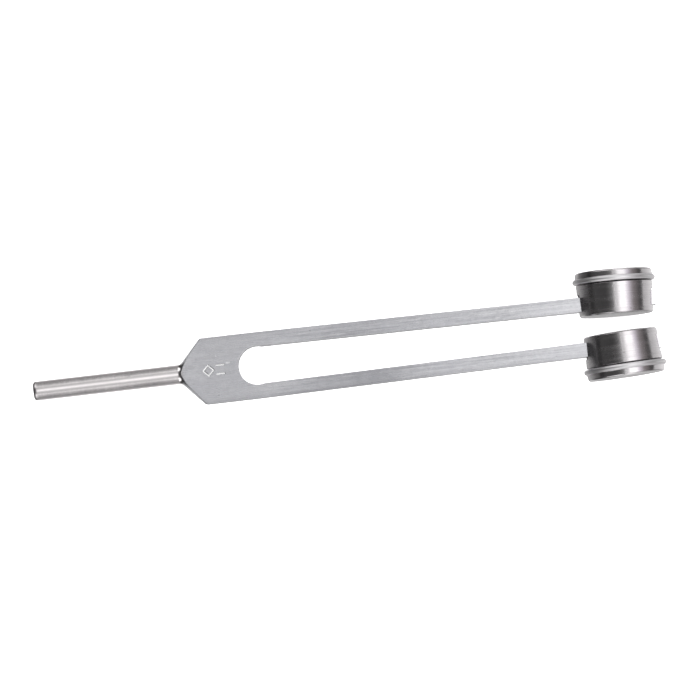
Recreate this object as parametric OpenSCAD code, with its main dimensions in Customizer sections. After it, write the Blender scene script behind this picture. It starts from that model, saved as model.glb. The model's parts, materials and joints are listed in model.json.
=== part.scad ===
// Weighted tuning fork.
// The fork is one machined piece: a round stem, a turned shoulder, a flat head and two tines.
// A clamp-on weight sits near the tip of each tine. A thumb screw enters each weight from its
// outer end and presses a swivelling pad against the tine.
//
// Millimetres. The origin is the centre of the stem's free end. +X runs along the stem to the
// tips, +Y runs across the tines, and +Z is the thickness of the flat head.

/* [Stem] */
// Diameter of the round stem
stem_d = 6.5; // [5:0.1:6.8]
// Length of the stem, from its free end to the shoulder
stem_l = 49.5; // [30:0.5:80]
// Rounding of the edge at the stem's free end
foot_r = 1.1; // [0.3:0.1:2.4]
// Fillet between the stem and the shoulder
fillet_r = 2; // [0.5:0.1:4]

/* [Head] */
// Width of the flat head
head_w = 22; // [19:0.2:28]
// Thickness of the head and of the tines
plate_t = 7; // [6.6:0.1:10]
// Length of the straight sides, from the shoulder to the centre of the root hole
head_l = 18.6; // [12:0.2:30]
// Angle of the turned shoulder to the stem's axis
shoulder_angle = 47.5; // [35:0.5:65]
// Rounding of the two head corners, seen from above
corner_r = 1.2; // [0.4:0.1:2.4]

/* [Tines] */
// Length of a tine, from the centre of the root hole to the tip
tine_l = 134.2; // [90:0.2:180]
// Width of a tine across the fork
tine_t = 4.75; // [3:0.05:6.5]
// Angle that each tine leans in, towards the other one
tine_lean = 0.57; // [0:0.01:1.1]
// How far the root hole is wider than the gap, on each side
root_relief = 0.25; // [0.05:0.05:1]

/* [Weights] */
// Diameter of a weight at its inner end
weight_inner_d = 24.5; // [20:0.1:32]
// Diameter of a weight at its outer end
weight_outer_d = 25.5; // [20:0.1:32]
// Wall between a weight's inner end and its slot
inner_wall = 2; // [1:0.1:3]
// Wall between the slot and a weight's outer end
outer_wall = 2.8; // [2.2:0.1:8]
// Spare height of the slot outside the tine
slot_spare = 0.9; // [0.2:0.1:2]
// How far the upper tine's tip is from the weight's widest edge
upper_overhang = 0.5; // [0:0.1:30]
// How far the lower tine's tip is from the weight's widest edge
lower_overhang = 0.1; // [0:0.1:30]
// Angle that each weight leans towards the tips, on its tine
weight_lean = 1.4; // [0:0.1:2]
// Chamfer around a weight's inner end
inner_chamfer = 0.4; // [0.1:0.1:1]
// Chamfer around a weight's outer end
outer_chamfer = 0.2; // [0.1:0.1:1]

/* [Thumb screws] */
// Diameter of the screw's shank
shank_d = 8; // [6:0.1:14]
// Diameter of the round bead that the fingers turn
bead_d = 27.6; // [26.2:0.1:36]
// Thickness of the bead
bead_t = 1.8; // [0.8:0.1:4]
// Gap between the weight and the bead when the screw is tight
bead_gap = 0.3; // [0.1:0.1:1]
// Diameter of the cap next to the bead
cap_base_d = 26; // [22:0.1:27]
// Diameter of the cap below its rounded edge
cap_top_d = 25.6; // [22:0.1:27]
// Height of the cap's straight side
cap_side_h = 1.5; // [0.4:0.1:6]
// Height of the cap's rounded edge
cap_edge_h = 0.7; // [0.2:0.1:3]
// Width of the cap's rounded edge
cap_edge_w = 1.1; // [0.4:0.1:5]
// Radius of the small turning centre in the cap's face
centre_r = 0.8; // [0.3:0.1:2]

/* [Pads] */
// Thickness of the pad's disc
pad_t = 1; // [0.6:0.1:1.4]
// Diameter of the pivot that holds the pad in the end of the screw
pivot_d = 2.4; // [1.2:0.1:4]
// Length of the pivot
pivot_l = 1.6; // [0.8:0.1:3]

/* [Clearances] */
// Clearance between a tine and the faces that slide on it
slide_gap = 0.05; // [0.02:0.01:0.1]
// Clearance beside a tine in its slot
side_gap = 0.15; // [0.05:0.05:0.5]
// Radial clearance of the shank and of the pivot
running_gap = 0.05; // [0.02:0.01:0.1]
// Clearance around the pad
pad_gap = 0.25; // [0.1:0.05:0.6]

/* [Mark] */
// Depth of the engraved mark
mark_depth = 0.2; // [0.05:0.05:0.5]
// Width of the mark's lines
mark_line = 0.45; // [0.2:0.05:0.8]
// Size of the mark's lozenge, from side to side
mark_size = 2.9; // [1.5:0.1:5]
// Distance of the lozenge from the shoulder
mark_place = 2.2; // [1.5:0.1:6]
// Distance between the lozenge and the two bars
mark_pitch = 4; // [2:0.1:7]

/* [Hidden] */

$fn = 96;
ARC_STEPS = 6;
UPPER = 0;
LOWER = 180;
// How far a cut runs past the surface that it opens
over = 1;

stem_r = stem_d / 2;
head_half = head_w / 2;
shoulder_x = stem_l + (head_half - stem_r) / tan(shoulder_angle);
root_x = shoulder_x + head_l;
root_r = head_half - tine_t + root_relief;
blank_r = head_half + plate_t;
blank_x = stem_l + (blank_r - stem_r) / tan(shoulder_angle);
tip_x = root_x + tine_l;

weight_r = max(weight_inner_d, weight_outer_d) / 2;
slot_floor = -tine_t - slide_gap;
slot_roof = slot_spare;
slot_w = plate_t + 2 * side_gap;
inner_end = slot_floor - inner_wall;
outer_end = slot_roof + outer_wall;

shank_r = shank_d / 2;
bore_r = shank_r + running_gap;
pad_r = min(slot_w / 2, bore_r) - pad_gap;
pad_floor = slide_gap;
pad_top = pad_floor + pad_t;
shank_end = pad_top + running_gap;
pivot_r = pivot_d / 2;
bead_floor = outer_end + bead_gap;
bead_top = bead_floor + bead_t;
cap_side_top = bead_top + cap_side_h;
cap_top = cap_side_top + cap_edge_h;
cap_face_r = cap_top_d / 2 - cap_edge_w;

// Points along an arc, from one angle to another about its centre.
function arc(centre, r, from, to) =
    [for (i = [0 : ARC_STEPS])
        let (a = from + (to - from) * i / ARC_STEPS)
        [centre[0] + r * cos(a), centre[1] + r * sin(a)]];

// Points along a quarter of an ellipse, from its side to its top.
function elliptic_edge(centre, across, up) =
    [for (i = [0 : ARC_STEPS])
        let (a = 90 * i / ARC_STEPS)
        [centre[0] + across * cos(a), centre[1] + up * sin(a)]];

// A point beside the tine on one side: u runs along the tine's outer face, v stands out of it.
function tine_point(u, v, side) =
    [root_x + u * cos(tine_lean) + v * sin(tine_lean),
     side * (head_half - u * sin(tine_lean) + v * cos(tine_lean))];

function half_outline(side) = [
    [-over, side * head_half],
    [root_x, side * head_half],
    tine_point(tine_l, 0, side),
    tine_point(tine_l, -tine_t, side),
    tine_point(0, -tine_t, side)
];

function reversed(list) = [for (i = [len(list) - 1 : -1 : 0]) list[i]];

// The outline of the flat bar that the head and the tines are cut from.
module flat_outline() {
    difference() {
        polygon(concat(half_outline(1), reversed(half_outline(-1))));
        translate([root_x, 0]) circle(r = root_r);
    }
}

// The lathe-turned form: stem, fillet and shoulder. Past the shoulder it clears the bar.
module turned_form() {
    fillet_x = stem_l - fillet_r * tan(shoulder_angle / 2);
    foot = arc([stem_r - foot_r, foot_r], foot_r, -90, 0);
    fillet = arc([stem_r + fillet_r, fillet_x], fillet_r, 180, 180 - shoulder_angle);
    rotate([0, 90, 0])
        rotate_extrude()
            polygon(concat(
                [[0, 0]], foot, fillet,
                [[blank_r, blank_x], [blank_r, tip_x + over], [0, tip_x + over]]
            ));
}

// The waste outside one rounded head corner.
module corner_waste(side) {
    tangent = corner_r * tan(shoulder_angle / 2);
    edge = arc([shoulder_x + tangent, head_half - corner_r], corner_r, 90, 90 + shoulder_angle);
    outside = [
        [shoulder_x - over, head_half],
        [shoulder_x - over, head_half + over],
        [shoulder_x + tangent, head_half + over]
    ];
    rotate([side, 0, 0])
        linear_extrude(height = plate_t + 2 * over, center = true)
            polygon(concat(edge, outside));
}

// A generic engraved mark: a lozenge and two short bars.
module mark() {
    lozenge_x = shoulder_x + mark_place;
    translate([0, 0, plate_t / 2 - mark_depth])
        linear_extrude(height = mark_depth + over) {
            translate([lozenge_x, 0])
                rotate(45)
                    difference() {
                        square(mark_size, center = true);
                        square(mark_size - 2 * mark_line, center = true);
                    }
            for (side = [-1, 1])
                translate([lozenge_x + mark_pitch, side * mark_size / 2])
                    square([mark_size, mark_line], center = true);
        }
}

module fork() {
    color("silver")
        difference() {
            intersection() {
                turned_form();
                linear_extrude(height = plate_t, center = true) flat_outline();
            }
            corner_waste(UPPER);
            corner_waste(LOWER);
            mark();
        }
}

// Places a child beside a tine: X along the outer face from the weight's centre, Y out of it.
module beside_tine(side) {
    overhang = side == UPPER ? upper_overhang : lower_overhang;
    rotate([side, 0, 0])
        translate([root_x, head_half, 0])
            rotate(-tine_lean)
                translate([tine_l - overhang - weight_r, 0, 0])
                    children();
}

// Places a child on a weight's own axis: Z runs out of the tine's outer face.
module on_weight_axis(side) {
    beside_tine(side)
        rotate(-weight_lean)
            rotate([-90, 0, 0])
                children();
}

module weight_blank() {
    inner_r = weight_inner_d / 2;
    outer_r = weight_outer_d / 2;
    rotate_extrude()
        polygon([
            [0, inner_end],
            [inner_r - inner_chamfer, inner_end],
            [inner_r, inner_end + inner_chamfer],
            [outer_r, outer_end - outer_chamfer],
            [outer_r - outer_chamfer, outer_end],
            [0, outer_end]
        ]);
}

module weight_body(side) {
    slot_l = 2 * (weight_r + over);
    color("dimgray")
        difference() {
            on_weight_axis(side) weight_blank();
            beside_tine(side)
                translate([-slot_l / 2, slot_floor, -slot_w / 2])
                    cube([slot_l, slot_roof - slot_floor, slot_w]);
            on_weight_axis(side)
                cylinder(h = outer_end + over, r = bore_r);
        }
}

// The disc that bears on the tine, with the pivot that the screw turns on.
module pressure_pad(side) {
    color("goldenrod")
        difference() {
            on_weight_axis(side)
                union() {
                    translate([0, 0, -over]) cylinder(h = pad_top + over, r = pad_r);
                    cylinder(h = pad_top + pivot_l, r = pivot_r);
                }
            beside_tine(side)
                translate([-weight_r, -weight_r, -weight_r])
                    cube([2 * weight_r, weight_r + pad_floor, 2 * weight_r]);
        }
}

module thumb_screw(side) {
    bead_r = bead_t / 2;
    bead = arc([bead_d / 2 - bead_r, bead_floor + bead_r], bead_r, -90, 90);
    edge = elliptic_edge([cap_face_r, cap_side_top], cap_edge_w, cap_edge_h);
    color("gray")
        on_weight_axis(side)
            difference() {
                rotate_extrude()
                    polygon(concat(
                        [[0, shank_end], [shank_r, shank_end], [shank_r, bead_floor]],
                        bead,
                        [[cap_base_d / 2, bead_top]],
                        edge,
                        [[centre_r, cap_top], [0, cap_top - centre_r]]
                    ));
                translate([0, 0, shank_end - over])
                    cylinder(h = over + pivot_l + running_gap, r = pivot_r + running_gap);
            }
}

fork();
weight_body(UPPER);  // upper_weight_body
pressure_pad(UPPER);  // upper_pressure_pad
thumb_screw(UPPER);  // upper_thumb_screw
weight_body(LOWER);  // lower_weight_body
pressure_pad(LOWER);  // lower_pressure_pad
thumb_screw(LOWER);  // lower_thumb_screw
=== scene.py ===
"""Looks of the weighted tuning fork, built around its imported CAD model.

Everything is in metres, in the CAD frame: +X runs from the stem's free end to the tips,
+Y across the tines towards the upper one, +Z through the flat head.

The fork, the bodies of the weights and the pads keep their CAD meshes and get materials.
The thumb screws are replaced by finer turned pieces of the same size.
"""
import json
import math

import bpy
from mathutils import Matrix, Vector


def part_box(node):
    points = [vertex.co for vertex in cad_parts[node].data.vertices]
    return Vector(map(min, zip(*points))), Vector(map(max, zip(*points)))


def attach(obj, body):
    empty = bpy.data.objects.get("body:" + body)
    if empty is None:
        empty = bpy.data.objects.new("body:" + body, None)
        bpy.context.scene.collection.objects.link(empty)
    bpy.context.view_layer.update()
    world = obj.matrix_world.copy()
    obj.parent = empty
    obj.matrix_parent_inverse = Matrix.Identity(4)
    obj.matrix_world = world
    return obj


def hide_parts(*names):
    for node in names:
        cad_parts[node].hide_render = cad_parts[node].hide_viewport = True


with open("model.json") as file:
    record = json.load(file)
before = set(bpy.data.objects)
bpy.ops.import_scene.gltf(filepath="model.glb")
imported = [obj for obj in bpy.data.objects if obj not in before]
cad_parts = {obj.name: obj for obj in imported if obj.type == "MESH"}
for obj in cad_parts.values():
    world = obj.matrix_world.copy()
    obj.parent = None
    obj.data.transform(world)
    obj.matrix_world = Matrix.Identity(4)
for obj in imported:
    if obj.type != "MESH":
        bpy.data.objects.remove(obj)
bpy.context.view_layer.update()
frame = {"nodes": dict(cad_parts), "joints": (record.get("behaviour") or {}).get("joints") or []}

MM = 0.001
DEG = math.pi / 180
SIDES = ("upper", "lower")
JOINTS = {joint["name"]: joint for joint in frame["joints"]}

# ---------------------------------------------------------------- places on the fork

FORK_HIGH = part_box("fork")[1]
TIP_X = FORK_HIGH.x
HEAD_HALF = FORK_HIGH.y
PLATE_HALF = FORK_HIGH.z
STEM_L = 49.5 * MM
ROOT_X = 75.2 * MM
TINE_LEAN = 0.57 * DEG

MARK_X = 63.0 * MM
MARK_REACH = 8.0 * MM
MARK_DEPTH = 0.2 * MM
# The length of each tip's top that is painted near-white as a painted highlight.
TIP_HIGHLIGHT_L = 1.6 * MM
# The centre of a darker patch on the lower tine.
DARK_PATCH_AT = (108 * MM, -9.5 * MM, 3.5 * MM)

# Each fade runs from its first value to its second one.
TURNED_FADE = (STEM_L - 0.6 * MM, STEM_L + 1.2 * MM)
FOOT_FADE = (0.6 * MM, 1.6 * MM)
RIM_FADE = (HEAD_HALF - 2.0 * MM, HEAD_HALF - 0.1 * MM)
DARK_PATCH_FADE = (28 * MM, 6 * MM)
# The tines are painted paler towards the tips: a painted sheen.
PAINTED_SHEEN_FADE = (130 * MM, TIP_X)

# The brushing shows less on the head than on the tines.
CALM_HEAD_FADE = (ROOT_X - 5 * MM, ROOT_X + 20 * MM)
CALM_HEAD_CONTRAST = 0.45

# ---------------------------------------------------------------- sizes of a thumb screw

# Heights are above the tine's outer face, on the screw's own axis.
SHANK_R = 4.0 * MM
SHANK_END = 1.1 * MM
SHANK_ROUND = 0.2 * MM
BEAD_R = 13.8 * MM
BEAD_T = 1.8 * MM
BEAD_FLOOR = 4.0 * MM
BEAD_ROUND = 0.15 * MM
CAP_BASE_R = 13.0 * MM
CAP_TOP_R = 12.8 * MM
CAP_SIDE_H = 1.5 * MM
CAP_EDGE_H = 0.7 * MM
CAP_EDGE_W = 1.1 * MM
CENTRE_R = 0.8 * MM
PIVOT_BORE_R = 1.25 * MM
PIVOT_BORE_L = 1.65 * MM
PIVOT_BORE_ROUND = 0.1 * MM

ROUND_STEPS = 6
ARC_STEPS = 16
LATHE_SEGMENTS = 256
SMOOTH_BELOW = 40 * DEG
ON_AXIS = 1e-9

# ---------------------------------------------------------------- colours, linear

FLAT_DARK = (0.28, 0.28, 0.30)
FLAT_MIDDLE = (0.47, 0.47, 0.49)
FLAT_LIGHT = (0.68, 0.68, 0.70)
STEM_DARK = (0.79, 0.755, 0.76)
STEM_LIGHT = (0.89, 0.855, 0.86)
CLOUD_GREY = (0.47, 0.47, 0.51)
STAIN_PALE = (0.78, 0.78, 0.80)
PIT_DARK = (0.22, 0.22, 0.24)
DING_BRIGHT = (0.92, 0.92, 0.93)
# Lighter fork edges: partly wear, partly a painted highlight.
EDGE_WEAR_AND_HIGHLIGHT = (0.86, 0.86, 0.88)
# Painted shade along the outer edges of the flats.
RIM_PAINTED_SHADE = (0.32, 0.32, 0.34)
DARK_PATCH_GREY = (0.25, 0.25, 0.27)
TIP_PAINTED_SHEEN = (0.84, 0.84, 0.86)
FOOT_DARK = (0.30, 0.29, 0.30)
# The near-white of the painted highlight on the mark's floor and on the tips.
PAINTED_HIGHLIGHT_WHITE = (0.97, 0.97, 0.97)

WEIGHT_TINT = (0.56, 0.54, 0.55)
SCREW_TINT = (0.60, 0.58, 0.59)
RING_DARKER = 0.88
RING_LIGHTER = 1.1
STEEL_PIT = (0.16, 0.15, 0.15)
# Lighter steel edges: partly wear, partly a painted highlight.
STEEL_EDGE_WEAR_AND_HIGHLIGHT = (0.82, 0.82, 0.83)
# The screws' bead is painted paler: a painted highlight.
BEAD_PAINTED_HIGHLIGHT = (0.88, 0.87, 0.88)

BRASS_DARK = (0.55, 0.40, 0.17)
BRASS_LIGHT = (0.80, 0.62, 0.30)
BRASS_TARNISH = (0.36, 0.26, 0.13)

FLOOR_DARK = 0.90
FLOOR_LIGHT = 0.93
BACKDROP = (0.93, 0.93, 0.935, 1)
WHITE = (1, 1, 1, 1)

# ---------------------------------------------------------------- grain of the metals

# Each noise is its waves in a metre along X, Y and Z, its detail and its roughness.
FORK_NOISES = {
    "long": ((26, 1500, 1500), 5.0, 0.65),
    "fine": ((160, 5200, 5200), 3.0, 0.6),
    "wide": ((9, 420, 420), 3.0, 0.6),
    "mottling": ((420, 800, 800), 5.0, 0.75),
    "rings": ((5200, 40, 40), 4.0, 0.7),
    "stains": ((60, 130, 130), 4.0, 0.7),
    "clouds": ((62, 62, 62), 5.0, 0.65),
}
STEEL_CLOUDS = ((110, 110, 110), 4.0, 0.6)
STEEL_SCRATCHES = ((900, 160, 900), 4.0, 0.7)
BRASS_GRAIN = ((2600, 300, 2600), 4.0, 0.7)
BRASS_CLOUDS = ((240, 240, 240), 4.0, 0.6)
PAPER_GRAIN = ((900, 900, 900), 3.0, 0.5)

# Lathe rings are drawn by radius and height, so X and Y stand for those here.
STEEL_RINGS = ((4200, 4200, 4200), 4.0, 0.7)
STEEL_WIDE_RINGS = ((700, 700, 700), 2.0, 0.5)

# Specks are their cells in a metre, the largest speck's radius in cells and the share of cells with one.
FORK_PITS = ((620, 620, 620), 0.24, 0.14)
FORK_DINGS = ((260, 520, 520), 0.22, 0.10)
STEEL_PITS = ((700, 700, 700), 0.22, 0.08)
SPECK_OUTLINE = ((3, 3, 3), 3.0, 0.7)
SPECK_RAGGED = (-0.07, 0.07)

# Where most values of a noise lie.
NOISE_SPAN = (0.3, 0.7)

# How much of each grain is in the tone of the brushed flats.
TONE_SHARES = {"long": 0.40, "fine": 0.25, "wide": 0.15, "mottling": 0.20}

FORK_EDGE_R = 0.25 * MM
STEEL_EDGE_R = 0.15 * MM
BEVEL_SAMPLES = 8
# The cosine between the rounded and the flat normal, from just off an edge to right on it.
EDGE_SPAN = (0.995, 0.86)
FACING_UP = 0.7

WEIGHT_ROUGH = (0.19, 0.27)
SCREW_ROUGH = (0.18, 0.26)
BEAD_FADE = (CAP_BASE_R + 0.05 * MM, CAP_BASE_R + 0.25 * MM)

# Cycles spreads a highlight along the tangent, so the tangent lies across the marks.
ACROSS_BRUSHING = (0, 1, 0)
ACROSS_STEM_RINGS = (1, 0, 0)
BRUSHED_SPREAD = 0.5
TURNED_SPREAD = 0.35

# ---------------------------------------------------------------- the studio that the metal reflects

# The brightest level that a ramp can hold. The ramps hold shares of it.
WORLD_TOP = 2.5

# Each strip is the x of a direction, from -1 at the stem's end to 1 at the tips', and its level.
ABOVE = (
    (-1.0, 0.10), (-0.93, 0.085), (-0.6, 0.055), (-0.45, 0.06), (-0.28, 0.14), (-0.13, 0.30),
    (-0.08, 0.74), (-0.02, 0.74), (0.05, 0.95), (0.13, 1.8), (0.18, 2.1), (0.47, 2.1),
    (0.58, (1.3, 1.23, 1.35)), (0.68, (0.80, 0.76, 0.82)), (0.79, (0.34, 0.31, 0.31)),
    (0.95, (0.17, 0.16, 0.16)), (1.0, 0.3),
)
ABOVE_SIDE = (
    (-1.0, 0.30), (-0.82, 0.25), (-0.62, 1.5), (0.2, 1.5), (0.4, 0.8), (0.6, 0.6), (0.8, 0.9),
    (1.0, 0.9),
)
BELOW = (
    (-1.0, 0.14), (-0.95, 0.22), (-0.85, 0.36), (-0.6, 0.50), (-0.1, 0.75), (0.3, 1.0), (0.8, 1.1),
    (1.0, 0.8),
)
BELOW_SIDE = (
    (-1.0, 0.06), (-0.30, 0.06), (-0.14, 0.40), (-0.02, 0.60), (0.06, 1.3), (0.2, 1.2), (0.4, 0.5),
    (1.0, 0.45),
)

# The lamp is a narrow strip across the fork. Its levels go by |y|, from the middle to the sides.
LAMP = (
    (0.05, 1.45), (0.15, 1.25), (0.32, 0.78), (0.63, 0.52), (0.78, 0.38), (0.90, 0.26), (1.0, 0.20),
)
LAMP_STARTS = (-0.12, -0.095)
LAMP_ENDS = (-0.045, -0.01)

# Spans of |y| over which one part of the studio gives way to another.
ABOVE_DIMS = (0.18, 0.45)
ABOVE_DIMMED = 0.5
SIDE_GLOW_STARTS = (0.15, 0.38)
SIDE_GLOW = 0.06
SIDE_STARTS = (0.50, 0.70)
SIDE_SHARE = 0.95
BELOW_SIDE_STARTS = (0.12, 0.30)

# Spans and levels by z.
HORIZON = (-0.03, 0.03)
UNDER_SIDES = (-0.82, -0.66)
UNDER_SIDES_LEVEL = 0.85
NADIR = (-0.98, -0.90)
NADIR_SHARE = 0.60
LOW_BAND = ((0.0, 1.0), (0.02, 0.40), (0.22, 0.40), (0.34, 1.0))

# A grey card at each side, just off the middle.
CARD_X = -0.06
CARD_HALF = (0.05, 0.10)
CARD_STARTS = (0.80, 0.97)
CARD_LEVEL = 0.26

# ---------------------------------------------------------------- node helpers


class Nodes:
    """A small wrapper that adds nodes to a tree and links them, one call per node."""

    def __init__(self, tree):
        self.tree = tree
        tree.nodes.clear()

    def add(self, kind, inputs=None, **settings):
        made = self.tree.nodes.new(kind)
        for key, value in settings.items():
            setattr(made, key, value)
        for key, value in (inputs or {}).items():
            self.feed(made.inputs[key], value)
        return made

    def feed(self, socket, value):
        if isinstance(value, bpy.types.NodeSocket):
            self.tree.links.new(value, socket)
        else:
            socket.default_value = value

    def math(self, operation, a, b=0.0, clamp=False):
        made = self.add("ShaderNodeMath", {0: a, 1: b}, operation=operation, use_clamp=clamp)
        return made.outputs[0]

    def vector(self, operation, a, b=(0, 0, 0)):
        return self.add("ShaderNodeVectorMath", {0: a, 1: b}, operation=operation)

    def split(self, vector):
        return self.add("ShaderNodeSeparateXYZ", {0: vector}).outputs

    def product(self, *values):
        """The product of two or more values."""
        made = values[0]
        for value in values[1:]:
            made = self.math("MULTIPLY", made, value)
        return made

    def weighted_sum(self, parts):
        """The sum of values, each given with its weight."""
        made = 0.0
        for value, weight in parts:
            made = self.math("ADD", made, self.math("MULTIPLY", value, weight))
        return made

    def ramp(self, value, stops):
        """A colour ramp. Each stop is a place and a grey level or a colour."""
        made = self.add("ShaderNodeValToRGB", {0: value})
        elements = made.color_ramp.elements
        while len(elements) < len(stops):
            elements.new(0.5)
        for element, (place, colour) in zip(elements, stops):
            element.position = place
            element.color = (*as_colour(colour), 1)
        return made.outputs[0]

    def fade(self, value, span, levels=(0.0, 1.0), smooth=False):
        """The value taken from a span to two levels, and held at them outside it."""
        made = self.add(
            "ShaderNodeMapRange",
            {0: value, 1: span[0], 2: span[1], 3: levels[0], 4: levels[1]},
            interpolation_type="SMOOTHSTEP" if smooth else "LINEAR",
        )
        return made.outputs[0]

    def mix(self, factor, a, b, blend="MIX"):
        made = self.add("ShaderNodeMix", data_type="RGBA", blend_type=blend)
        for socket, value in ((made.inputs[0], factor), (made.inputs[6], a), (made.inputs[7], b)):
            self.feed(socket, (*value, 1) if isinstance(value, tuple) else value)
        return made.outputs[2]

    def covered(self, colour, covers):
        """The colour under several covers, each given as (mask, share, colour)."""
        for mask, share, cover in covers:
            colour = self.mix(self.math("MULTIPLY", mask, share), colour, cover)
        return colour

    def noise(self, position, waves, detail, roughness):
        """A noise that is drawn out along the axes in which it has few waves."""
        made = self.add("ShaderNodeTexNoise", {
            "Vector": self.scaled(position, waves),
            "Scale": 1.0,
            "Detail": detail,
            "Roughness": roughness,
        })
        return made.outputs[0]

    def scaled(self, position, waves):
        return self.vector("MULTIPLY", position, waves).outputs[0]

    def object_position(self):
        return self.add("ShaderNodeTexCoord").outputs["Object"]

    def true_normal(self):
        return self.add("ShaderNodeNewGeometry").outputs["Normal"]

    def surface(self, inputs):
        """Ends a material with one shader that has these inputs."""
        shader = self.add("ShaderNodeBsdfPrincipled", inputs)
        self.add("ShaderNodeOutputMaterial", {0: shader.outputs[0]})


def as_colour(level):
    return level if isinstance(level, tuple) else (level,) * 3


def new_material(name):
    made = bpy.data.materials.new(name)
    made.use_nodes = True
    return made, Nodes(made.node_tree)


def broken_edges(nodes, radius):
    """The normal of slightly rounded edges, and a mask that is 1 on them and 0 elsewhere."""
    rounded_normal = nodes.add("ShaderNodeBevel", {"Radius": radius}, samples=BEVEL_SAMPLES).outputs[0]
    likeness = nodes.vector("DOT_PRODUCT", rounded_normal, nodes.true_normal()).outputs["Value"]
    return rounded_normal, nodes.fade(likeness, EDGE_SPAN)


def bump_chain(nodes, normal, heights):
    """Several heights on one normal, each given as (height, strength, depth in metres)."""
    for height, strength, depth in heights:
        inputs = {"Height": height, "Strength": strength, "Distance": depth}
        if normal is not None:
            inputs["Normal"] = normal
        normal = nodes.add("ShaderNodeBump", inputs).outputs[0]
    return normal


def specks(nodes, position, cells_in_metre, size, share):
    """Small ragged specks: 1 inside a speck and 0 outside."""
    place = nodes.scaled(position, cells_in_metre)
    cells = nodes.add("ShaderNodeTexVoronoi", {"Vector": place, "Scale": 1.0})
    ragged = nodes.fade(nodes.noise(place, *SPECK_OUTLINE), NOISE_SPAN, SPECK_RAGGED)
    distance = nodes.math("ADD", cells.outputs["Distance"], ragged)
    chance, own_size, _ = nodes.split(cells.outputs["Color"])
    inside = nodes.math("LESS_THAN", distance, nodes.math("MULTIPLY", own_size, size))
    return nodes.product(inside, nodes.math("LESS_THAN", chance, share))


# ---------------------------------------------------------------- aluminium of the fork


def fork_grains(nodes, position):
    """The noises and marks that the fork's colour, roughness and bumps share."""
    grains = {name: nodes.noise(position, *noise) for name, noise in FORK_NOISES.items()}
    grains["pits"] = specks(nodes, position, *FORK_PITS)
    grains["dings"] = specks(nodes, position, *FORK_DINGS)
    return grains


def fork_zones(nodes, position, stains):
    """Masks that are 1 in one zone of the fork and 0 outside it."""
    x, y, z = nodes.split(position)
    faces_up = nodes.math("GREATER_THAN", nodes.split(nodes.true_normal())[2], FACING_UP)

    turned = nodes.fade(x, TURNED_FADE, (1.0, 0.0), smooth=True)
    flat = nodes.math("SUBTRACT", 1.0, turned)

    # The floor of the engraved mark is the only upward face near it that lies a little lower.
    from_mark = nodes.math("ABSOLUTE", nodes.math("SUBTRACT", x, MARK_X))
    near_mark = nodes.math("LESS_THAN", from_mark, MARK_REACH)
    sunk = nodes.math("LESS_THAN", z, PLATE_HALF - MARK_DEPTH / 2)
    groove = nodes.product(sunk, near_mark, faces_up, nodes.math("GREATER_THAN", z, 0.0))
    # The mark's floor and the top of each tip's last stretch are painted near-white: a painted highlight.
    tip_highlight = nodes.product(faces_up, nodes.math("GREATER_THAN", x, TIP_X - TIP_HIGHLIGHT_L))

    # The outer edge runs straight along the head and then leans in with the tines.
    lean = nodes.math("MULTIPLY", nodes.math("SUBTRACT", x, ROOT_X), math.tan(TINE_LEAN))
    edge_y = nodes.math("ADD", nodes.math("ABSOLUTE", y), nodes.math("MAXIMUM", lean, 0.0))
    # Along the outer edges the flats are painted darker: painted shade for the dark line that shows
    # there.
    painted_rim_shade = nodes.product(nodes.fade(edge_y, RIM_FADE, smooth=True), flat)

    # A darker patch on the lower tine, fading out from its centre and broken up by the stains noise.
    from_dark_patch = nodes.vector("DISTANCE", position, DARK_PATCH_AT).outputs["Value"]
    dark_patch = nodes.product(nodes.fade(from_dark_patch, DARK_PATCH_FADE, smooth=True),
                           nodes.fade(stains, (0.35, 0.6), (0.45, 1.0)))
    return {
        "turned": turned,
        "flat": flat,
        "foot": nodes.fade(x, FOOT_FADE, (1.0, 0.0), smooth=True),
        "painted_highlight": nodes.math("MAXIMUM", groove, tip_highlight),
        "painted_rim_shade": painted_rim_shade,
        "dark_patch": dark_patch,
        "painted_sheen_to_tip": nodes.fade(x, PAINTED_SHEEN_FADE),
        "contrast": nodes.fade(x, CALM_HEAD_FADE, (CALM_HEAD_CONTRAST, 1.0), smooth=True),
    }


def fork_colour(nodes, grains, zones, edges):
    tone = nodes.weighted_sum((grains[name], share) for name, share in TONE_SHARES.items())
    tone = nodes.product(nodes.math("SUBTRACT", tone, 0.5), zones["contrast"])
    tone = nodes.math("ADD", tone, 0.5)
    brushed = nodes.ramp(tone, [(0.36, FLAT_DARK), (0.5, FLAT_MIDDLE), (0.64, FLAT_LIGHT)])
    ringed = nodes.ramp(grains["rings"], [(0.30, STEM_DARK), (0.70, STEM_LIGHT)])
    cloudy = nodes.product(nodes.fade(grains["clouds"], (0.38, 0.72)), zones["flat"])
    stained = nodes.product(nodes.fade(grains["stains"], (0.56, 0.70)), zones["flat"])
    return nodes.covered(nodes.mix(zones["turned"], brushed, ringed), (
        (cloudy, 0.42, CLOUD_GREY),
        (stained, 0.22, STAIN_PALE),
        (grains["pits"], 0.50, PIT_DARK),
        (grains["dings"], 0.40, DING_BRIGHT),
        # Edges are lightened, partly as wear and partly as a painted highlight.
        (edges, 0.40, EDGE_WEAR_AND_HIGHLIGHT),
        # Painted shade along the outer edges.
        (zones["painted_rim_shade"], 0.35, RIM_PAINTED_SHADE),
        (zones["dark_patch"], 0.60, DARK_PATCH_GREY),
        # Painted sheen: paler towards the tips.
        (zones["painted_sheen_to_tip"], 0.30, TIP_PAINTED_SHEEN),
        (zones["foot"], 0.60, FOOT_DARK),
        # Painted highlight: near-white on the mark's floor and on the tips.
        (zones["painted_highlight"], 1.00, PAINTED_HIGHLIGHT_WHITE),
    ))


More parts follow.
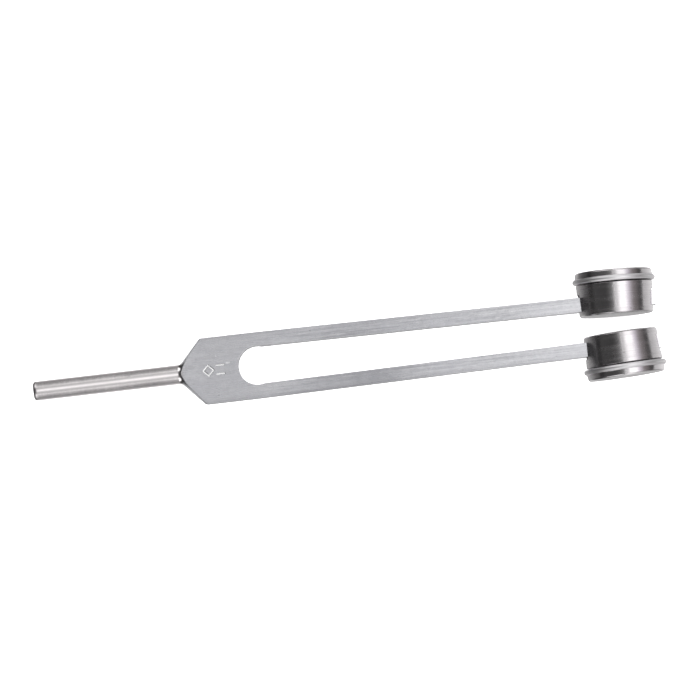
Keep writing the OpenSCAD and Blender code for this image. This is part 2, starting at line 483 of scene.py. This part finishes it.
def fork_roughness(nodes, grains, zones):
    brushed = nodes.fade(grains["long"], NOISE_SPAN, (0.20, 0.32))
    ringed = nodes.fade(grains["rings"], NOISE_SPAN, (0.10, 0.17))
    rough = nodes.add("ShaderNodeMix", {0: zones["turned"], 2: brushed, 3: ringed}).outputs[0]
    rough = nodes.math("ADD", rough, nodes.fade(grains["clouds"], NOISE_SPAN, (-0.02, 0.04)))
    return nodes.math("ADD", rough, nodes.math("MULTIPLY", zones["foot"], 0.25), clamp=True)


def fork_material():
    """Satin aluminium: long brushing on the flats, lathe rings on the stem and shoulder."""
    made, nodes = new_material("brushed_aluminium")
    position = nodes.object_position()
    grains = fork_grains(nodes, position)
    zones = fork_zones(nodes, position, grains["stains"])
    rounded_normal, edges = broken_edges(nodes, FORK_EDGE_R)
    bumped = bump_chain(nodes, rounded_normal, (
        (nodes.product(grains["long"], zones["flat"]), 0.30, 0.02 * MM),
        (nodes.product(grains["rings"], zones["turned"]), 0.12, 0.008 * MM),
        (nodes.product(grains["clouds"], zones["flat"]), 0.25, 0.35 * MM),
        (nodes.math("MULTIPLY", grains["pits"], -1.0), 0.4, 0.02 * MM),
        (nodes.math("MULTIPLY", grains["dings"], -1.0), 0.3, 0.02 * MM),
    ))
    tangent = nodes.add("ShaderNodeMix", {0: zones["turned"]}, data_type="VECTOR")
    tangent.inputs[4].default_value = ACROSS_BRUSHING
    tangent.inputs[5].default_value = ACROSS_STEM_RINGS
    nodes.surface({
        "Base Color": fork_colour(nodes, grains, zones, edges),
        "Metallic": 1.0,
        "Roughness": fork_roughness(nodes, grains, zones),
        "Anisotropic": nodes.math("MULTIPLY", zones["flat"], BRUSHED_SPREAD),
        "Tangent": tangent.outputs[1],
        "Normal": bumped,
    })
    return made


# ---------------------------------------------------------------- steel, brass and the floor


def steel_material(name, origin, axis, tint, rough_levels):
    """Turned and polished steel: rings about its own axis, handling marks, edges lightened partly by wear
    and partly as a painted highlight, and a painted highlight on the bead.
    """
    made, nodes = new_material(name)
    position = nodes.object_position()
    offset = nodes.vector("SUBTRACT", position, tuple(origin)).outputs[0]
    height = nodes.vector("DOT_PRODUCT", offset, tuple(axis)).outputs["Value"]
    square = nodes.vector("DOT_PRODUCT", offset, offset).outputs["Value"]
    radius = nodes.math("SQRT", nodes.math("SUBTRACT", square, nodes.product(height, height)))
    lathe_place = nodes.add("ShaderNodeCombineXYZ", {0: radius, 1: height, 2: 0.0}).outputs[0]

    rings = nodes.noise(lathe_place, *STEEL_RINGS)
    wide_rings = nodes.noise(lathe_place, *STEEL_WIDE_RINGS)
    clouds = nodes.noise(position, *STEEL_CLOUDS)
    scratches = nodes.noise(position, *STEEL_SCRATCHES)
    pits = specks(nodes, position, *STEEL_PITS)
    rounded_normal, edges = broken_edges(nodes, STEEL_EDGE_R)
    # 1 on the bead, which is painted paler as a painted highlight and made rougher.
    bead = nodes.fade(radius, BEAD_FADE, smooth=True)

    dark = tuple(level * RING_DARKER for level in tint)
    light = tuple(level * RING_LIGHTER for level in tint)
    colour = nodes.covered(nodes.ramp(rings, [(0.3, dark), (0.5, tint), (0.7, light)]), (
        (nodes.fade(clouds, (0.4, 0.75)), 0.30, dark),
        (pits, 0.35, STEEL_PIT),
        # Edges are lightened, partly as wear and partly as a painted highlight.
        (edges, 0.35, STEEL_EDGE_WEAR_AND_HIGHLIGHT),
        # Painted highlight: the bead is painted paler.
        (bead, 0.60, BEAD_PAINTED_HIGHLIGHT),
    ))

    rough = nodes.fade(wide_rings, NOISE_SPAN, rough_levels)
    rough = nodes.math("ADD", rough, nodes.fade(clouds, (0.4, 0.7), (-0.01, 0.04)))
    rough = nodes.math("ADD", rough, nodes.fade(scratches, (0.55, 0.75), (0.0, 0.04)))
    rough = nodes.math("ADD", rough, nodes.math("MULTIPLY", bead, 0.25), clamp=True)

    bumped = bump_chain(nodes, rounded_normal, (
        (rings, 0.12, 0.006 * MM),
        (scratches, 0.06, 0.008 * MM),
        (nodes.math("MULTIPLY", pits, -1.0), 0.3, 0.02 * MM),
    ))
    normal = nodes.true_normal()
    around = nodes.vector("CROSS_PRODUCT", tuple(axis), normal).outputs[0]
    across_rings = nodes.vector("CROSS_PRODUCT", around, normal).outputs[0]
    nodes.surface({
        "Base Color": colour, "Metallic": 1.0, "Roughness": rough,
        "Anisotropic": TURNED_SPREAD, "Tangent": across_rings, "Normal": bumped,
    })
    return made


def brass_material():
    """Machined brass with a little tarnish, for the pads."""
    made, nodes = new_material("machined_brass")
    position = nodes.object_position()
    grain = nodes.noise(position, *BRASS_GRAIN)
    clouds = nodes.noise(position, *BRASS_CLOUDS)
    colour = nodes.covered(nodes.ramp(grain, [(0.3, BRASS_DARK), (0.7, BRASS_LIGHT)]), (
        (nodes.fade(clouds, (0.4, 0.8)), 0.40, BRASS_TARNISH),
    ))
    nodes.surface({
        "Base Color": colour,
        "Metallic": 1.0,
        "Roughness": nodes.fade(clouds, NOISE_SPAN, (0.25, 0.45)),
        "Normal": bump_chain(nodes, None, ((grain, 0.3, 0.01 * MM),)),
    })
    return made


def floor_material():
    """Plain pale paper. It glows a little, so that the small fork's shadow stays faint."""
    made, nodes = new_material("pale_floor")
    paper = nodes.noise(nodes.object_position(), *PAPER_GRAIN)
    nodes.surface({
        "Base Color": nodes.ramp(paper, [(0.3, FLOOR_DARK), (0.7, FLOOR_LIGHT)]),
        "Roughness": 0.9,
        "Specular IOR Level": 0.1,
        "Normal": bump_chain(nodes, None, ((paper, 0.05, 0.02 * MM),)),
        "Emission Color": WHITE,
        "Emission Strength": 0.6,
    })
    return made


# ---------------------------------------------------------------- meshes


def rounded(points):
    """A profile whose corners are rounded. Each point is (radius, height, rounding)."""
    made = []
    for index, (x, y, radius) in enumerate(points):
        corner = Vector((x, y))
        if radius == 0 or index in (0, len(points) - 1):
            made.append(corner)
            continue
        back = (Vector(points[index - 1][:2]) - corner).normalized()
        ahead = (Vector(points[index + 1][:2]) - corner).normalized()
        half_angle = math.acos(max(-1.0, min(1.0, back.dot(ahead)))) / 2
        tangent = radius / math.tan(half_angle)
        centre = corner + (back + ahead).normalized() * (radius / math.sin(half_angle))
        start = corner + back * tangent - centre
        end = corner + ahead * tangent - centre
        sweep = start.angle_signed(end)
        for step in range(ROUND_STEPS + 1):
            turn = Matrix.Rotation(-sweep * step / ROUND_STEPS, 2)
            made.append(centre + turn @ start)
    return made


def elliptic_arc(centre_r, centre_h, width, height, start):
    """Points on an ellipse, from the start angle in degrees up to 90."""
    made = []
    for step in range(ARC_STEPS + 1):
        angle = (start + (90 - start) * step / ARC_STEPS) * DEG
        made.append(Vector((centre_r + width * math.cos(angle), centre_h + height * math.sin(angle))))
    return made


def axis_matrix(origin, axis):
    """A matrix that takes +Z to the axis and the origin to its point."""
    turn = Vector(axis).to_track_quat("Z", "X").to_matrix().to_4x4()
    return Matrix.Translation(origin) @ turn


def link_mesh(name, vertices, faces):
    mesh = bpy.data.meshes.new(name)
    mesh.from_pydata(vertices, [], faces)
    made = bpy.data.objects.new(name, mesh)
    bpy.context.scene.collection.objects.link(made)
    return made


def lathe(name, profile, origin, axis):
    """A solid of revolution. The profile starts and ends on the axis, as (radius, height)."""
    place = axis_matrix(origin, axis)
    vertices = []
    faces = []
    rings = []
    for radius, height in profile:
        count = 1 if radius < ON_AXIS else LATHE_SEGMENTS
        rings.append([len(vertices) + step for step in range(count)])
        for step in range(count):
            angle = 2 * math.pi * step / count
            point = Vector((radius * math.cos(angle), radius * math.sin(angle), height))
            vertices.append(place @ point)
    for low, high in zip(rings, rings[1:]):
        for step in range(LATHE_SEGMENTS):
            after = (step + 1) % LATHE_SEGMENTS
            corners = []
            for ring, order in ((low, (step, after)), (high, (after, step))):
                corners += [ring[0]] if len(ring) == 1 else [ring[order[0]], ring[order[1]]]
            if len(corners) > 2:
                faces.append(corners)
    made = link_mesh(name, vertices, faces)
    made.data.validate()
    made.data.shade_smooth()
    made.data.set_sharp_from_angle(angle=SMOOTH_BELOW)
    return made


# ---------------------------------------------------------------- pieces


def screw_axis(side):
    """Where a thumb screw's axis leaves the tine's outer face, and its outward direction."""
    joint = JOINTS[side + "_screw_turn"]
    return Vector(joint["pos_m"]), Vector(joint["axis"]).normalized()


def screw_profile():
    """The pivot's bore, the shank, the half-round bead and the cap, from the inside out."""
    bead_centre_r = BEAD_R - BEAD_T / 2
    bead_top = BEAD_FLOOR + BEAD_T
    side_top = bead_top + CAP_SIDE_H
    face_h = side_top + CAP_EDGE_H
    face_r = CAP_TOP_R - CAP_EDGE_W
    inner = rounded([
        (0, SHANK_END + PIVOT_BORE_L, 0),
        (PIVOT_BORE_R, SHANK_END + PIVOT_BORE_L, 0),
        (PIVOT_BORE_R, SHANK_END, PIVOT_BORE_ROUND),
        (SHANK_R, SHANK_END, SHANK_ROUND),
        (SHANK_R, BEAD_FLOOR, BEAD_ROUND),
        (bead_centre_r, BEAD_FLOOR, 0),
    ])
    bead = elliptic_arc(bead_centre_r, BEAD_FLOOR + BEAD_T / 2, BEAD_T / 2, BEAD_T / 2, -90)
    bead.append(Vector((CAP_BASE_R, bead_top)))
    cap_edge = elliptic_arc(face_r, side_top, CAP_EDGE_W, CAP_EDGE_H, 0)
    centre_mark = [Vector((CENTRE_R, face_h)), Vector((0, face_h - CENTRE_R))]
    return inner[:-1] + bead + cap_edge + centre_mark


def make_screw(side):
    origin, axis = screw_axis(side)
    made = lathe(side + "_turned_thumb_screw", screw_profile(), origin, axis)
    steel = steel_material(side + "_screw_steel", origin, axis, SCREW_TINT, SCREW_ROUGH)
    made.data.materials.append(steel)
    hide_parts(side + "_thumb_screw")
    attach(made, side + "_screw")


def dress_cad_node(name, material):
    node = frame["nodes"][name]
    node.data.materials.clear()
    node.data.materials.append(material)


def dress_weight(side, brass):
    origin, axis = screw_axis(side)
    steel = steel_material(side + "_weight_steel", origin, axis, WEIGHT_TINT, WEIGHT_ROUGH)
    dress_cad_node(side + "_weight_body", steel)
    dress_cad_node(side + "_pressure_pad", brass)
    make_screw(side)


# ---------------------------------------------------------------- floor, studio, light and camera


def make_floor():
    """A flat floor just under the beads, which are the lowest part of the fork."""
    half = 3.0
    gap = 0.1 * MM
    height = -BEAD_R - gap
    corners = [(-half, -half, height), (half, -half, height), (half, half, height), (-half, half, height)]
    made = link_mesh("floor", corners, [(0, 1, 2, 3)])
    made.data.materials.append(floor_material())
    made.visible_glossy = False


def studio_levels(stops):
    """Ramp stops whose levels are shares of WORLD_TOP."""
    return [(place, tuple(part / WORLD_TOP for part in as_colour(level))) for place, level in stops]


def studio_above(nodes, strip, aside, pale_side, x):
    """Softboxes and dark flags, pale sides, and the narrow lamp."""
    dimmed = nodes.fade(aside, ABOVE_DIMS, (1.0, ABOVE_DIMMED), smooth=True)
    above = nodes.mix(1.0, strip(ABOVE), dimmed, "MULTIPLY")
    above = nodes.mix(pale_side, above, strip(ABOVE_SIDE))
    in_lamp = nodes.product(nodes.fade(x, LAMP_STARTS, smooth=True),
                            nodes.fade(x, LAMP_ENDS, (1.0, 0.0), smooth=True))
    return nodes.mix(in_lamp, above, nodes.ramp(aside, studio_levels(LAMP)))


def studio_below(nodes, strip, aside, z):
    """A pale table, darker at its sides and right under the fork."""
    under_sides = nodes.fade(z, UNDER_SIDES, (1.0, 0.0), smooth=True)
    below_side = nodes.mix(under_sides, strip(BELOW_SIDE), (UNDER_SIDES_LEVEL / WORLD_TOP,) * 3)
    below = nodes.mix(nodes.fade(aside, BELOW_SIDE_STARTS, smooth=True), strip(BELOW), below_side)
    return nodes.mix(1.0, below, nodes.fade(z, NADIR, (NADIR_SHARE, 1.0), smooth=True), "MULTIPLY")


def make_world():
    """A studio that only reflections see, as the camera itself sees a plain pale backdrop.

    x, y and z are the parts of a reflected direction, so a strip in x runs across the fork.
    """
    world = bpy.data.worlds.new("studio")
    world.use_nodes = True
    bpy.context.scene.world = world
    nodes = Nodes(world.node_tree)
    x, y, z = nodes.split(nodes.add("ShaderNodeTexCoord").outputs["Generated"])
    aside = nodes.math("ABSOLUTE", y)
    along = nodes.fade(x, (-1.0, 1.0))

    def strip(stops):
        return nodes.ramp(along, studio_levels([((where + 1) / 2, level) for where, level in stops]))

    pale_side = nodes.math("ADD", nodes.fade(aside, SIDE_GLOW_STARTS, (0.0, SIDE_GLOW), smooth=True),
                           nodes.fade(aside, SIDE_STARTS, (0.0, SIDE_SHARE), smooth=True))
    above = studio_above(nodes, strip, aside, pale_side, x)
    below = studio_below(nodes, strip, aside, z)
    studio = nodes.mix(nodes.fade(z, HORIZON, smooth=True), below, above)
    middle = nodes.math("SUBTRACT", 1.0, pale_side)
    studio = nodes.mix(middle, studio, nodes.ramp(z, LOW_BAND), "MULTIPLY")
    from_card = nodes.math("ABSOLUTE", nodes.math("SUBTRACT", x, CARD_X))
    card = nodes.product(nodes.fade(from_card, CARD_HALF, (1.0, 0.0), smooth=True),
                         nodes.fade(aside, CARD_STARTS))
    studio = nodes.mix(card, studio, (CARD_LEVEL / WORLD_TOP,) * 3)

    reflected = nodes.add("ShaderNodeBackground", {0: studio, 1: WORLD_TOP})
    seen = nodes.add("ShaderNodeBackground", {0: BACKDROP, 1: 1.0})
    path = nodes.add("ShaderNodeLightPath")
    both = nodes.add("ShaderNodeMixShader", {0: path.outputs["Is Camera Ray"],
                                             1: reflected.outputs[0], 2: seen.outputs[0]})
    nodes.add("ShaderNodeOutputWorld", {0: both.outputs[0]})


def make_light():
    """A wide soft light from above. The metal doesn't reflect it, as it reflects the studio."""
    place = Vector((0.1, -0.1, 1.0))
    target = Vector((0.1, 0, 0))
    data = bpy.data.lights.new("soft_top", "AREA")
    data.shape = "RECTANGLE"
    data.size = 1.6
    data.size_y = 1.6
    data.energy = 26.0
    made = bpy.data.objects.new("soft_top", data)
    made.location = place
    made.rotation_mode = "QUATERNION"
    made.rotation_quaternion = (place - target).to_track_quat("Z", "Y")
    made.visible_glossy = False
    bpy.context.scene.collection.objects.link(made)


def make_camera():
    """Nearly straight above, a little towards -Y, with the fork rising to the right."""
    tilt = 3.0 * DEG
    roll = 6.6 * DEG
    distance = 1.2
    framed = 233.3 * MM
    sensor = 36.0
    target = Vector((106.3, 1.6, 0)) * MM
    back = Vector((0, -math.sin(tilt), math.cos(tilt)))
    up_hint = Vector((math.sin(roll), math.cos(roll), 0))
    right = up_hint.cross(back).normalized()
    up = back.cross(right)
    data = bpy.data.cameras.new("camera")
    data.sensor_width = sensor
    data.lens = sensor * distance / framed
    data.clip_start = 0.01
    data.clip_end = 20
    made = bpy.data.objects.new("camera", data)
    turn = Matrix((right, up, back)).transposed().to_4x4()
    made.matrix_world = Matrix.Translation(target + back * distance) @ turn
    bpy.context.scene.collection.objects.link(made)
    bpy.context.scene.camera = made


# ---------------------------------------------------------------- the scene

dress_cad_node("fork", fork_material())
brass = brass_material()
for side in SIDES:
    dress_weight(side, brass)
make_floor()
make_world()
make_light()
make_camera()
bpy.context.scene.view_settings.view_transform = "Standard"
